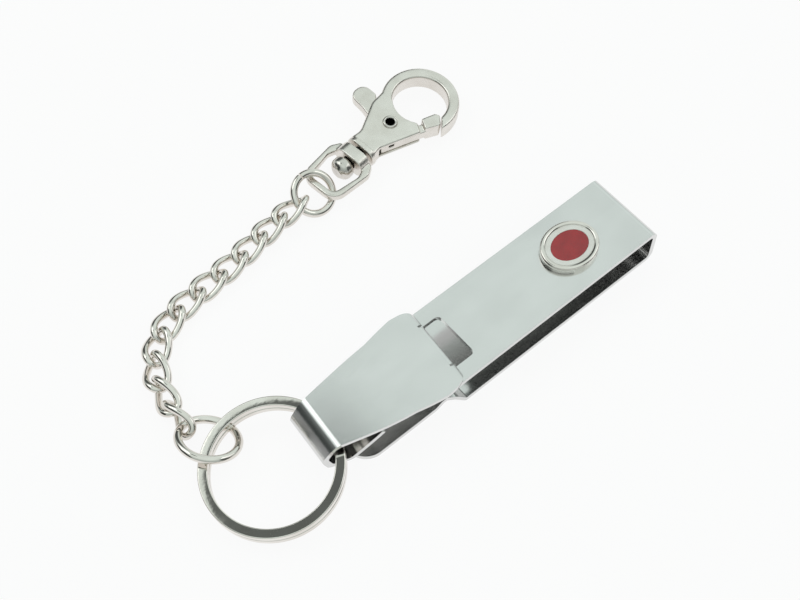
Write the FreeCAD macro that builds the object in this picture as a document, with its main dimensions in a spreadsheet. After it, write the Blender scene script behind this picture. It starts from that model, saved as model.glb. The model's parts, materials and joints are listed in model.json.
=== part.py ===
import FreeCAD, Part
import math
import os
import re
import Sketcher
from FreeCAD import Placement, Rotation, Vector

# Belt key clip: a folded belt clip with a hook-on hanger, a split ring,
# a curb chain and a swivelling trigger clasp, laid out flat on a table.
# Millimetres and degrees. +X runs along the belt slot to its fold, +Z is up,
# and the origin is on the back leaf's outer face in the middle of the slot.

SIZES = [
    # Belt clip, one strip of spring steel
    ("belt_room", 50.8),
    ("clip_width", 17.5),
    ("clip_height", 9.8),
    ("clip_sheet", 1.2),
    ("clip_bend", 1.5),
    ("plate_overhang", 4.5),
    ("plate_corner", 2.0),
    ("bar_width", 2.8),
    ("window_length", 6.4),
    ("window_width", 10.8),
    ("window_corner", 1.0),
    ("bead_ramp", 1.7),
    ("bead_land", 2.6),
    ("bead_rise", 1.0),
    ("bead_bend", 1.3),
    ("leaf_tail", 24.8),
    ("tail_width", 13.4),
    ("tail_corner", 4.5),
    ("shoulder_run", 3.2),
    # Oval badge with two enamels
    ("badge_length", 13.0),
    ("badge_width", 11.0),
    ("badge_height", 1.6),
    ("badge_setback", 16.9),
    ("badge_rim", 1.0),
    ("badge_floor", 0.7),
    ("rim_round", 0.45),
    ("border_band", 1.2),
    ("enamel_height", 0.7),
    ("enamel_gap", 0.02),
    # Hanger, a flared plate with a tongue at one end and a loop at the other
    ("hanger_length", 30.2),
    ("hanger_sheet", 1.0),
    ("hanger_lift", 0.5),
    ("hanger_shift", 0.1),
    ("hanger_pitch", 3.5),
    ("hanger_yaw", -4.5),
    ("tongue_width", 9.9),
    ("tongue_gap", 0.9),
    ("tongue_inset", 0.2),
    ("tongue_bend", 0.9),
    ("tongue_drop", 3.7),
    ("tongue_reach", 2.7),
    ("relief_width", 0.5),
    ("relief_length", 0.9),
    # Split ring, two turns of flat wire
    ("ring_radius", 14.2),
    ("ring_wire_width", 2.0),
    ("ring_wire_height", 1.5),
    ("ring_wire_bevel", 0.25),
    ("ring_turn_gap", 0.2),
    ("ring_joggle", 26.0),
    ("ring_joggle_end", 14.0),
    ("ring_end_gap", 3.0),
    ("ring_tilt", 7.2),
    ("ring_slide", 0.9),
    # Round jump rings at both ends of the chain
    ("jump_wire", 1.7),
    ("jump_seam", 4.0),
    ("ring_link_radius", 5.9),
    ("ring_link_station", 114.0),
    ("ring_link_out", 0.8),
    ("ring_link_tilt", 28.0),
    ("ring_link_rise", 0.5),
    ("ring_link_seam", 220.0),
    ("swivel_link_radius", 4.4),
    ("swivel_link_tilt", 37.0),
    ("swivel_link_back", 1.8),
    ("swivel_link_seam", 120.0),
    # Curb chain
    ("link_pitch", 6.0),
    ("link_wire", 1.55),
    ("link_play", 0.7),
    ("link_half_width", 2.3),
    ("link_twist", 50.0),
    ("end_play", 0.7),
    # Clasp body, measured from the gate pivot
    ("clasp_heading", 7.0),
    ("clasp_roll", 5.0),
    ("clasp_reach", 17.8),
    ("clasp_thickness", 4.3),
    ("clasp_edge", 0.7),
    ("hook_wire", 2.62),
    ("hook_corner", 1.2),
    ("slot_height", 2.6),
    ("neck_reach", 9.4),
    ("neck_length", 1.2),
    ("neck_width", 7.6),
    ("neck_height", 5.2),
    ("neck_corner", 2.3),
    # Swivel eye and its rivet
    ("swivel_gap", 0.8),
    ("barrel_length", 2.8),
    ("barrel_width", 7.8),
    ("barrel_height", 5.4),
    ("barrel_corner", 2.4),
    ("eye_length", 12.6),
    ("eye_height", 1.9),
    ("eye_wall", 1.6),
    ("eye_edge", 0.5),
    ("stem_radius", 1.5),
    ("stem_clearance", 0.06),
    ("stem_seat", 2.0),
    ("head_length", 3.3),
    ("head_gap", 0.45),
    # Trigger gate, its hollow rivet and its spring
    ("gate_reach", 11.2),
    ("gate_thickness", 2.4),
    ("gate_edge", 0.4),
    ("gate_gap", 0.22),
    ("pivot_radius", 1.55),
    ("pivot_bore", 1.05),
    ("pivot_clearance", 0.05),
    ("pivot_lip", 1.9),
    ("pivot_lip_height", 0.25),
    ("spring_radius", 2.1),
    ("spring_wire", 0.28),
    ("spring_pitch", 0.31),
    ("spring_turns", 1.75),
    ("spring_leg", 3.0),
    ("spring_recess", 2.5),
    ("spring_floor", 0.05),
    ("spring_rest", 0.2),
    ("leg_room", 1.05),
    # Tolerance for picking edges and faces by their place
    ("pick_slack", 0.02),
]

# Hanger outline in plan, from the shoulder to the loop, and its loop seen from
# the side: x, second coordinate and corner radius as shares of hanger_length.
HANGER_PLAN_SHARES = [
    (0.0, 0.315, 0.1),
    (-0.152, 0.315, 0.13),
    (-0.384, 0.258, 0.26),
    (-1.05, 0.18, 0),
]
HANGER_LOOP_SHARES = [
    (-1.0, -0.084, 0.073),
    (-0.97, -0.227, 0.06),
    (-0.838, -0.227, 0.053),
    (-0.619, -0.021, 0),
]
LOOP_START_SHARE = 0.927
LOOP_BEND_SHARE = 0.08
LOOP_AXIS_SHARES = (-0.862, -0.105)

# Clasp outlines as shares of clasp_reach: the cheeks, the slot between them,
# the hook's centre and the angles where its wire starts and ends.
CHEEK_SHARES = [
    (-0.48, -0.19, 0),
    (-0.36, -0.172, 0.11),
    (0.165, -0.37, 0.033),
    (0.236, -0.25, 0),
    (0.278, 0.383, 0),
    (0.067, 0.367, 0.22),
    (-0.344, 0.178, 0.17),
    (-0.48, 0.195, 0),
]
SLOT_SHARES = [
    (-0.367, -0.5, 0),
    (0.333, -0.5, 0),
    (0.333, 0.067, 0),
    (0.178, 0.133, 0),
    (0.178, 0.5, 0),
    (-0.278, 0.5, 0),
    (-0.367, 0.056, 0),
]
HOOK_CENTRE_SHARES = (0.509, -0.038)
HOOK_START_ANGLE = -107.0
HOOK_END_ANGLE = 150.0

# Trigger gate as shares of gate_reach: the lever between the cheeks, with its
# arm, hub, thumb lobe and heel, and the nose that is as thick as the hook.
LEVER_SHARES = [
    (0.781, -0.482, 0.03),
    (0.491, -0.375, 0.04),
    (0.43, -0.45, 0.04),
    (0.28, -0.22, 0.15),
    (0.25, 0.03, 0.1),
    (0.2, 0.54, 0.09),
    (0.345, 0.69, 0.1),
    (0.345, 1.05, 0.19),
    (-0.055, 1.05, 0.19),
    (-0.085, 0.68, 0.1),
    (-0.143, 0.44, 0.1),
    (-0.268, 0.05, 0.1),
    (-0.5, -0.06, 0.04),
    (-0.52, -0.268, 0.05),
    (0.34, -0.6, 0.1),
    (0.652, -0.741, 0.03),
    (0.817, -0.58, 0),
]
NOSE_SHARES = [
    (0.781, -0.482, 0.03),
    (0.491, -0.375, 0.04),
    (0.366, -0.595, 0.04),
    (0.652, -0.741, 0.03),
    (0.817, -0.58, 0),
]

# Swivel eye outline as shares of eye_length, measured back from its barrel, and
# the rivet's head as shares of head_length, measured back from its underside.
EYE_OUTER_SHARES = [(-0.02, 0.36, 0.06), (-0.2, 0.47, 0.15), (-1.0, 0.4, 0.27)]
EYE_INNER_SHARES = [(-0.2, 0.3, 0.05), (-0.36, 0.355, 0.12)]
HEAD_SHARES = [
    (0.0, 0.6, 0),
    (-0.2, 0.79, 0.3),
    (-0.72, 0.79, 0.45),
    (-1.0, 0.42, 0.2),
    (-1.0, 0.0, 0),
]

# Sections through the split ring's climb from one turn to the next, and
# through the gate spring's coil.
JOGGLE_STEPS = 6
COIL_STEPS = 28

# How each chain link lies, counted from the split ring: heading, climb, roll.
LINK_LAY = [
    (86, -3, -80),
    (80, -4, -48),
    (63, -5, -22),
    (43, -4, -4),
    (22, -1, 0),
    (8, 0, 0),
    (5, 0, 0),
    (7, 2, -4),
    (9, 4, -8),
    (7, 5, -12),
    (2, 5, -16),
]

X_AXIS = Vector(1, 0, 0)
Y_AXIS = Vector(0, 1, 0)
Z_AXIS = Vector(0, 0, 1)

doc = FreeCAD.newDocument("belt_key_clip")
sheet = doc.addObject("Spreadsheet::Sheet", "sizes")
SIZE_NAMES = [name for name, amount in SIZES]
subparts = []


def fill_sheet():
    for row, (name, amount) in enumerate(SIZES, start=1):
        sheet.set(f"A{row}", name)
        sheet.set(f"B{row}", str(amount))
        sheet.setAlias(f"B{row}", name)
    doc.recompute()


def size(name):
    return float(sheet.get(name))


def formula(text):
    """Turn plain size names in text into references to the sheet's cells."""
    def cell(match):
        word = match.group()
        return f"sizes.{word}" if word in SIZE_NAMES else word
    return re.sub(r"[a-z_]+", cell, text)


def amount_of(text):
    return float(sheet.evalExpression(formula(text)))


def bind(item, prop, text):
    item.setExpression(prop, formula(text))


def keep(item, name, placement):
    """Name a finished sub-part, place it and list it for writing."""
    item.Label = name
    item.Placement = placement
    subparts.append(item)


def shares_of(table, driver):
    """Outline corners from a table of shares of one driving size."""
    corners = []
    for x, y, radius in table:
        bend = f"{radius} * {driver}" if radius else None
        corners.append((f"{x} * {driver}", f"{y} * {driver}", bend))
    return corners


def mirrored(corners):
    """Close a half outline by its mirror image across the x axis."""
    other_side = [(x, f"-({y})", bend) for x, y, bend in reversed(corners)]
    return corners + other_side


# Sketches

def new_body(name):
    body = doc.addObject("PartDesign::Body", name + "_body")
    return body


def new_sketch(body, name, role, lift=None):
    sketch = body.newObject("Sketcher::SketchObject", name)
    plane = next(item for item in body.Origin.OriginFeatures if item.Role == role)
    sketch.AttachmentSupport = (plane, [""])
    sketch.MapMode = "FlatFace"
    if lift:
        bind(sketch, "AttachmentOffset.Base.z", lift)
    return sketch


def set_point(sketch, element, end, x, y):
    """Tie one point of a sketch to the formulas x and y."""
    for kind, text in (("DistanceX", x), ("DistanceY", y)):
        rule = Sketcher.Constraint(kind, -1, 1, element, end, amount_of(text))
        index = sketch.addConstraint(rule)
        bind(sketch, f"Constraints[{index}]", text)


def corner_arc(before, point, after, radius):
    """Arc that rounds a corner, and whether the path turns left there."""
    back = (before - point).normalize()
    ahead = (after - point).normalize()
    half = back.getAngle(ahead) / 2
    centre = point + (back + ahead).normalize() * (radius / math.sin(half))
    start = point + back * (radius / math.tan(half))
    end = point + ahead * (radius / math.tan(half))
    turns_left = back.cross(ahead).z < 0
    first, last = (start, end) if turns_left else (end, start)
    angles = [math.atan2(p.y - centre.y, p.x - centre.x) for p in (first, last)]
    circle = Part.Circle(centre, Z_AXIS, radius)
    return Part.ArcOfCircle(circle, angles[0], angles[1]), start, end, turns_left


def draw(sketch, corners, closed=True):
    """Draw a path of straight runs whose corners may be rounded."""
    corners = [corner if len(corner) == 3 else (*corner, None) for corner in corners]
    points = [Vector(amount_of(x), amount_of(y), 0) for x, y, bend in corners]
    count = len(points)
    arcs = {}
    leave = list(points)
    reach = list(points)
    for i, (x, y, bend) in enumerate(corners):
        if bend:
            arc, start, end, left = corner_arc(
                points[i - 1], points[i], points[(i + 1) % count], amount_of(bend))
            arcs[i] = (arc, left)
            reach[i] = start
            leave[i] = end
    runs = count if closed else count - 1
    lines = []
    for i in range(runs):
        line = Part.LineSegment(leave[i], reach[(i + 1) % count])
        lines.append(sketch.addGeometry(line, False))
    for i, (x, y, bend) in enumerate(corners):
        run_in = lines[i - 1] if closed or i else None
        run_out = lines[i] if i < runs else None
        if bend:
            arc, left = arcs[i]
            bow = sketch.addGeometry(arc, False)
            first, last = (1, 2) if left else (2, 1)
            sketch.addConstraint(Sketcher.Constraint("Tangent", run_in, 2, bow, first))
            sketch.addConstraint(Sketcher.Constraint("Tangent", bow, last, run_out, 1))
            rule = Sketcher.Constraint("Radius", bow, amount_of(bend))
            bind(sketch, f"Constraints[{sketch.addConstraint(rule)}]", bend)
            corner = sketch.addGeometry(Part.Point(points[i]), True)
            sketch.addConstraint(Sketcher.Constraint("PointOnObject", corner, 1, run_in))
            sketch.addConstraint(Sketcher.Constraint("PointOnObject", corner, 1, run_out))
            set_point(sketch, corner, 1, x, y)
        elif run_out is not None:
            if run_in is not None:
                sketch.addConstraint(
                    Sketcher.Constraint("Coincident", run_in, 2, run_out, 1))
            set_point(sketch, run_out, 1, x, y)
        else:
            set_point(sketch, run_in, 2, x, y)


def rectangle(low_x, low_y, high_x, high_y, bend=None):
    return [(low_x, low_y, bend), (high_x, low_y, bend),
            (high_x, high_y, bend), (low_x, high_y, bend)]


def circle_sketch(body, name, role, x, y, radius, lift=None):
    sketch = new_sketch(body, name, role, lift)
    centre = Vector(amount_of(x), amount_of(y), 0)
    ring = sketch.addGeometry(Part.Circle(centre, Z_AXIS, amount_of(radius)), False)
    set_point(sketch, ring, 3, x, y)
    rule = Sketcher.Constraint("Radius", ring, amount_of(radius))
    bind(sketch, f"Constraints[{sketch.addConstraint(rule)}]", radius)
    return sketch


# Features

def pad(body, sketch, name, length, side="Symmetric", backwards=False):
    feature = body.newObject("PartDesign::Pad", name)
    feature.Profile = sketch
    feature.SideType = side
    feature.Reversed = backwards
    bind(feature, "Length", length)
    doc.recompute()
    return feature


def pocket(body, sketch, name, length, side="One side", upwards=False):
    """Cut a sketch's area out, and make sure that something was cut."""
    volume = body.Shape.Volume
    feature = body.newObject("PartDesign::Pocket", name)
    feature.Profile = sketch
    feature.SideType = side
    feature.Reversed = upwards
    bind(feature, "Length", length)
    doc.recompute()
    if not body.Shape.Volume < volume:
        raise RuntimeError(f"{name} cuts nothing")
    return feature


def strip(body, name, path, profile):
    """Sweep a flat strip's section along its bent path."""
    doc.recompute()
    feature = body.newObject("PartDesign::AdditivePipe", name)
    feature.Profile = profile
    feature.Spine = (path, [f"Edge{i + 1}" for i in range(len(path.Shape.Edges))])
    doc.recompute()
    return feature


def round_edges(body, name, radius, wanted):
    """Fillet the edges of the body's last feature that wanted() picks."""
    base = body.Tip
    names = [f"Edge{i + 1}" for i, edge in enumerate(base.Shape.Edges) if wanted(edge)]
    feature = body.newObject("PartDesign::Fillet", name)
    feature.Base = (base, names)
    bind(feature, "Radius", radius)
    doc.recompute()
    return feature


def is_upright(edge, x):
    """Whether a straight edge runs along Z at the place x."""
    ends = [vertex.Point for vertex in edge.Vertexes]
    if len(ends) != 2 or not isinstance(edge.Curve, Part.Line):
        return False
    run = ends[1] - ends[0]
    across = math.hypot(run.x, run.y)
    near = size("pick_slack")
    return across < near and abs(ends[0].x - x) < near


def is_level(edge, height):
    """Whether the whole edge lies at one height."""
    near = size("pick_slack")
    return all(abs(z - height) < near for z in (edge.BoundBox.ZMin, edge.BoundBox.ZMax))


# Belt clip and badge

def build_belt_clip():
    body = new_body("belt_clip")
    plate_end = "-(belt_room / 2 + plate_overhang)"
    fold = "belt_room / 2 + clip_sheet / 2"
    top = "clip_height - clip_sheet / 2"
    low = "clip_sheet / 2"
    crest = "clip_sheet / 2 + bead_rise"
    path = new_sketch(body, "clip_path", "XZ_Plane")
    draw(path, [
        (plate_end, top),
        (fold, top, "clip_bend"),
        (fold, low, "clip_bend"),
        ("-belt_room / 2", low, "bead_bend"),
        ("-belt_room / 2 - bead_ramp", crest, "bead_bend"),
        ("-belt_room / 2 - bead_ramp - bead_land", crest, "bead_bend"),
        ("-belt_room / 2 - bead_ramp * 2 - bead_land", low, "bead_bend"),
        ("-(belt_room / 2 + leaf_tail)", low),
    ], closed=False)
    section = new_sketch(body, "clip_section", "YZ_Plane", plate_end)
    draw(section, rectangle("-clip_width / 2", "clip_height - clip_sheet",
                            "clip_width / 2", "clip_height"))
    strip(body, "clip_strip", path, section)
    window = new_sketch(body, "clip_window", "XY_Plane", "clip_height")
    window_edge = f"{plate_end} + bar_width"
    draw(window, rectangle(window_edge, "-window_width / 2",
                           f"{window_edge} + window_length", "window_width / 2",
                           "window_corner"))
    pocket(body, window, "window_cut", "clip_height / 2")
    for side, sign in (("near", "-"), ("far", "")):
        notch = new_sketch(body, f"tail_notch_{side}", "XY_Plane")
        draw(notch, [
            ("-belt_room / 2", f"{sign}clip_width / 2"),
            ("-belt_room / 2 - shoulder_run", f"{sign}tail_width / 2"),
            ("-belt_room / 2 - leaf_tail * 2", f"{sign}tail_width / 2"),
            ("-belt_room / 2 - leaf_tail * 2", f"{sign}clip_width"),
            ("-belt_room / 2", f"{sign}clip_width"),
        ])
        pocket(body, notch, f"tail_cut_{side}", "clip_height / 2", upwards=True)
    plate_x = amount_of(plate_end)
    tail_x = amount_of("-(belt_room / 2 + leaf_tail)")
    round_edges(body, "plate_corners", "plate_corner", lambda edge: is_upright(edge, plate_x))
    round_edges(body, "tail_corners", "tail_corner", lambda edge: is_upright(edge, tail_x))
    keep(body, "belt_clip", Placement())


def oval(name, inset, height):
    """Upright oval disc, inset from the badge's outline by a formula."""
    line = doc.addObject("Part::Ellipse", name + "_line")
    bind(line, "MajorRadius", f"badge_length / 2 - ({inset})")
    bind(line, "MinorRadius", f"badge_width / 2 - ({inset})")
    disc = doc.addObject("Part::Extrusion", name)
    disc.Base = line
    disc.DirMode = "Normal"
    disc.Solid = True
    bind(disc, "LengthFwd", height)
    return disc


def less(name, base, tool):
    item = doc.addObject("Part::Cut", name)
    item.Base = base
    item.Tool = tool
    return item


def build_badge():
    middle = amount_of("belt_room / 2 + clip_sheet - badge_setback")
    place = Placement(Vector(middle, 0, size("clip_height")), Rotation())
    disc = oval("badge_disc", "0", "badge_height")
    doc.recompute()
    height = size("badge_height")
    radius = size("rim_round")
    edges = enumerate(disc.Shape.Edges, start=1)
    outside = doc.addObject("Part::Fillet", "badge_outside")
    outside.Base = disc
    outside.Edges = [(i, radius, radius) for i, edge in edges if is_level(edge, height)]
    recess = oval("badge_recess", "badge_rim", "badge_height")
    bind(recess, "Placement.Base.z", "badge_floor")
    keep(less("badge_base", outside, recess), "badge_base", place)

    border = oval("border_outside", "badge_rim + enamel_gap", "enamel_height")
    opening = oval("border_opening", "badge_rim + border_band", "badge_height")
    floor = Placement(Vector(0, 0, size("badge_floor")), Rotation())
    keep(less("border_ring", border, opening), "badge_border_enamel", place * floor)

    field = oval("field_disc", "badge_rim + border_band + enamel_gap", "enamel_height")
    keep(field, "badge_field_enamel", place * floor)


# Hanger and split ring

def hanger_placement():
    """Shoulder edge of the hanger where it rocks on the front plate."""
    x = amount_of("-(belt_room / 2 + plate_overhang) + bar_width + tongue_gap"
                  " + hanger_sheet / 2 + tongue_inset")
    base = Vector(x, size("hanger_shift"), amount_of("clip_height + hanger_lift"))
    yaw = Rotation(Z_AXIS, size("hanger_yaw"))
    pitch = Rotation(Y_AXIS, -size("hanger_pitch"))
    return Placement(base, yaw * pitch)


def build_hanger():
    body = new_body("hanger")
    middle = "hanger_sheet / 2"
    path = new_sketch(body, "hanger_path", "XZ_Plane")
    draw(path, [
        ("-tongue_reach", "-tongue_drop"),
        ("-tongue_inset", "-tongue_drop", "tongue_bend"),
        ("-tongue_inset", middle, "tongue_bend"),
        (f"-{LOOP_START_SHARE} * hanger_length", middle, f"{LOOP_BEND_SHARE} * hanger_length"),
        *shares_of(HANGER_LOOP_SHARES, "hanger_length"),
    ], closed=False)
    section = new_sketch(body, "hanger_section", "YZ_Plane", "-tongue_reach")
    draw(section, rectangle("-hanger_length / 2", "-tongue_drop - hanger_sheet / 2",
                            "hanger_length / 2", "-tongue_drop + hanger_sheet / 2"))
    strip(body, "hanger_strip", path, section)
    plan = new_sketch(body, "hanger_plan", "XY_Plane")
    half = shares_of(HANGER_PLAN_SHARES, "hanger_length")
    shoulder = ("hanger_sheet / 2", half[0][1], half[0][2])
    draw(plan, mirrored([shoulder, *half[1:]]))
    draw(plan, rectangle("-hanger_length * 2", "-hanger_length",
                         "hanger_length", "hanger_length"))
    pocket(body, plan, "hanger_trim", "hanger_length", side="Symmetric")
    for side, sign in (("near", "-"), ("far", "")):
        shoulder_cut = new_sketch(body, f"shoulder_{side}", "XY_Plane")
        draw(shoulder_cut, rectangle("-tongue_reach * 2", f"{sign}tongue_width / 2",
                                     "tongue_reach", f"{sign}hanger_length"))
        pocket(body, shoulder_cut, f"shoulder_cut_{side}", "tongue_drop * 2")
        relief = new_sketch(body, f"relief_{side}", "XY_Plane")
        draw(relief, rectangle("-relief_length", f"{sign}tongue_width / 2",
                               "relief_length", f"{sign}(tongue_width / 2 + relief_width)"))
        pocket(body, relief, f"relief_cut_{side}", "tongue_drop * 2", side="Symmetric")
    keep(body, "hanger", hanger_placement())


def split_ring_placement():
    """The ring's wire lies in the hanger's loop and its far side on the table."""
    length = size("hanger_length")
    in_loop = Vector(LOOP_AXIS_SHARES[0] * length, 0, LOOP_AXIS_SHARES[1] * length)
    wire = hanger_placement().multVec(in_loop)
    mean = amount_of("ring_radius - ring_wire_width / 2")
    turn = Rotation(Y_AXIS, -size("ring_tilt"))
    centre = wire + Vector(0, size("ring_slide"), 0) - turn.multVec(Vector(mean, 0, 0))
    return Placement(centre, turn)


def wire_section(middle):
    """Bevelled flat wire, standing in the XZ plane at height middle."""
    outer = size("ring_radius")
    inner = outer - size("ring_wire_width")
    half = size("ring_wire_height") / 2
    bevel = size("ring_wire_bevel")
    points = [
        (inner + bevel, -half), (outer - bevel, -half), (outer, bevel - half),
        (outer, half - bevel), (outer - bevel, half), (inner + bevel, half),
        (inner, half - bevel), (inner, bevel - half),
    ]
    corners = [Vector(x, 0, middle + z) for x, z in points]
    return Part.makePolygon(corners + corners[:1])


def turn_of_wire(middle, start, sweep):
    face = Part.Face(wire_section(middle))
    face.rotate(Vector(), Z_AXIS, start)
    return face.revolve(Vector(), Z_AXIS, sweep)


def build_split_ring():
    rise = amount_of("ring_wire_height + ring_turn_gap")
    span = size("ring_joggle")
    end = size("ring_joggle_end")
    start = end - span
    gap = size("ring_end_gap")
    lower = turn_of_wire(-rise / 2, end + gap, 360 - span - gap)
    upper = turn_of_wire(rise / 2, end, 360 - span - gap)
    sections = []
    for step in range(JOGGLE_STEPS + 1):
        share = step / JOGGLE_STEPS
        section = wire_section(rise * (share - 0.5))
        section.rotate(Vector(), Z_AXIS, start + span * share)
        sections.append(section)
    joggle = Part.makeLoft(sections, True)
    ring = doc.addObject("Part::Feature", "split_ring_wound")
    ring.Shape = lower.multiFuse([joggle, upper]).removeSplitter()
    keep(ring, "split_ring", split_ring_placement())


# Jump rings and chain

def ring_link_placement():
    """Jump ring threaded on the split ring, its near side leaning up over it."""
    station = size("ring_link_station")
    mean = amount_of("ring_radius - ring_wire_width / 2")
    outward = Rotation(Z_AXIS, station).multVec(X_AXIS)
    centre = split_ring_placement().multVec(outward * (mean + size("ring_link_out")))
    centre.z += size("ring_link_rise")
    lean = Rotation(X_AXIS, size("ring_link_tilt"))
    return Placement(centre, Rotation(Z_AXIS, station) * lean)


def link_frames():
    """Where each chain link lies, found link by link from the jump ring."""
    radius = size("ring_link_radius")
    hold = amount_of("(jump_wire / 2 + link_wire / 2 + end_play) / 2")
    half_pitch = Vector(size("link_pitch") / 2, 0, 0)
    joint = ring_link_placement().multVec(Vector(radius - hold, 0, 0))
    frames = []
    for heading, climb, roll in LINK_LAY:
        turn = Rotation(Z_AXIS, heading) * Rotation(Y_AXIS, -climb) * Rotation(X_AXIS, roll)
        centre = joint + turn.multVec(half_pitch)
        frames.append(Placement(centre, turn))
        joint = centre + turn.multVec(half_pitch)
    return frames


def swivel_link_placement():
    """Jump ring between the last chain link and the swivel eye."""
    hold = amount_of("(jump_wire / 2 + link_wire / 2 + end_play) / 2")
    joint = link_frames()[-1].multVec(Vector(size("link_pitch") / 2, 0, 0))
    heading = LINK_LAY[-1][0]
    spread = Vector(size("swivel_link_radius") - hold, 0, 0)
    centre = joint + Rotation(Z_AXIS, heading).multVec(spread)
    lean = Rotation(X_AXIS, size("swivel_link_tilt"))
    return Placement(centre, Rotation(Z_AXIS, heading) * lean)


def build_jump_ring(name, radius, placement, seam):
    """Round wire bent to a ring, with its butt seam at a named angle."""
    ring = doc.addObject("Part::Torus", name + "_wire")
    bind(ring, "Radius1", radius)
    bind(ring, "Radius2", "jump_wire / 2")
    bind(ring, "Angle3", "360 - jump_seam")
    keep(ring, name, placement * Placement(Vector(), Rotation(Z_AXIS, size(seam))))


def biarc(start, start_way, end, end_way):
    """Two arcs that leave start and reach end along the given directions."""
    across = end - start
    ways = start_way + end_way
    spread = 2 * (1 - start_way.dot(end_way))
    along = across.dot(ways)
    reach = (math.sqrt(along ** 2 + spread * across.dot(across)) - along) / spread
    first_corner = start + start_way * reach
    last_corner = end - end_way * reach
    middle = (first_corner + last_corner) * 0.5
    return [(start, start_way, middle), (middle, (last_corner - middle).normalize(), end)]


def bent_rod(start, way, end, radius):
    """Round rod along the arc that leaves start along way and passes end."""
    across = end - start
    pole = way.cross(across).normalize()
    inward = pole.cross(way)
    bend = across.dot(across) / (2 * across.dot(inward))
    centre = start + inward * bend
    angle = math.degrees((start - centre).getAngle(end - centre))
    if way.dot(across) < 0:
        angle = 360 - angle
    disc = Part.Face(Part.Wire(Part.makeCircle(radius, start, way)))
    return disc.revolve(centre, pole, angle)


def curb_link():
    """Closed link of round wire, twisted so that its two ends are crossed."""
    half_length = amount_of("(link_pitch + link_wire + link_play) / 2")
    half_width = size("link_half_width")
    twist = math.radians(size("link_twist"))
    lean = half_width * twist / half_length
    tip_way = Vector(0, math.cos(twist), -math.sin(twist))
    side_way = Vector(-1, 0, lean).normalize()
    stations = []
    for turn in (0, 180):
        half_turn = Rotation(Z_AXIS, turn)
        stations.append((half_turn.multVec(Vector(half_length, 0, 0)), half_turn.multVec(tip_way)))
        stations.append((half_turn.multVec(Vector(0, half_width, 0)), half_turn.multVec(side_way)))
    rods = []
    for here, there in zip(stations, stations[1:] + stations[:1]):
        for start, way, end in biarc(*here, *there):
            rods.append(bent_rod(start, way, end, size("link_wire") / 2))
    return rods[0].multiFuse(rods[1:]).removeSplitter()


def build_chain():
    shape = curb_link()
    for number, frame in enumerate(link_frames(), start=1):
        name = f"chain_link_{number:02d}"
        link = doc.addObject("Part::Feature", name + "_wire")
        link.Shape = shape
        keep(link, name, frame)


# Clasp

def swivel_placement():
    """Gate pivot's place on the swivel's axis, level, with +x towards the hook."""
    heading = Rotation(Z_AXIS, size("clasp_heading"))
    bar = amount_of("neck_reach + swivel_gap + eye_length - eye_wall / 2")
    reach = Vector(bar + size("swivel_link_back"), 0, 0)
    return Placement(swivel_link_placement().Base + heading.multVec(reach), heading)


def clasp_placement():
    """The clasp's own frame, rolled about the swivel's axis as it lies."""
    return swivel_placement() * Placement(Vector(), Rotation(X_AXIS, size("clasp_roll")))


def build_swivel_eye():
    body = new_body("swivel_eye")
    front = "-(neck_reach + swivel_gap)"
    corners = shares_of(EYE_OUTER_SHARES, "eye_length")
    outline = new_sketch(body, "eye_outline", "XY_Plane")
    draw(outline, mirrored([(f"{front} + {x}", y, bend) for x, y, bend in corners]))
    corners = shares_of(EYE_INNER_SHARES, "eye_length")
    inner = [(f"{front} + {x}", y, bend) for x, y, bend in corners]
    inner.append((f"{front} - eye_length + eye_wall",
                  f"{EYE_OUTER_SHARES[-1][1]} * eye_length - eye_wall",
                  f"{EYE_OUTER_SHARES[-1][2]} * eye_length - eye_wall"))
    draw(outline, mirrored(inner))
    pad(body, outline, "eye_loop", "eye_height")
    half = size("eye_height") / 2
    round_edges(body, "eye_rounding", "eye_edge",
                lambda edge: is_level(edge, half) or is_level(edge, -half))
    barrel = new_sketch(body, "barrel_outline", "YZ_Plane", front)
    draw(barrel, rectangle("-barrel_width / 2", "-barrel_height / 2",
                           "barrel_width / 2", "barrel_height / 2", "barrel_corner"))
    pad(body, barrel, "eye_barrel", "barrel_length", side="One side", backwards=True)
    bore = circle_sketch(body, "barrel_bore", "YZ_Plane", "0", "0",
                         "stem_radius + stem_clearance", front)
    pocket(body, bore, "bore_cut", "eye_length / 2", side="One side")
    keep(body, "swivel_eye", swivel_placement())


def build_swivel_rivet():
    body = new_body("swivel_rivet")
    seat = "-(neck_reach - stem_seat)"
    under = "-(neck_reach + swivel_gap + barrel_length + head_gap)"
    profile = new_sketch(body, "rivet_profile", "XZ_Plane")
    head = shares_of(HEAD_SHARES, "head_length")
    draw(profile, [
        (seat, "0"),
        (seat, "stem_radius"),
        (under, "stem_radius"),
        *[(f"{under} + {x}", y, bend) for x, y, bend in head],
    ])
    turned = body.newObject("PartDesign::Revolution", "rivet_turned")
    turned.Profile = profile
    turned.ReferenceAxis = (profile, ["H_Axis"])
    turned.Angle = 360
    doc.recompute()
    keep(body, "swivel_rivet", clasp_placement())


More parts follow.
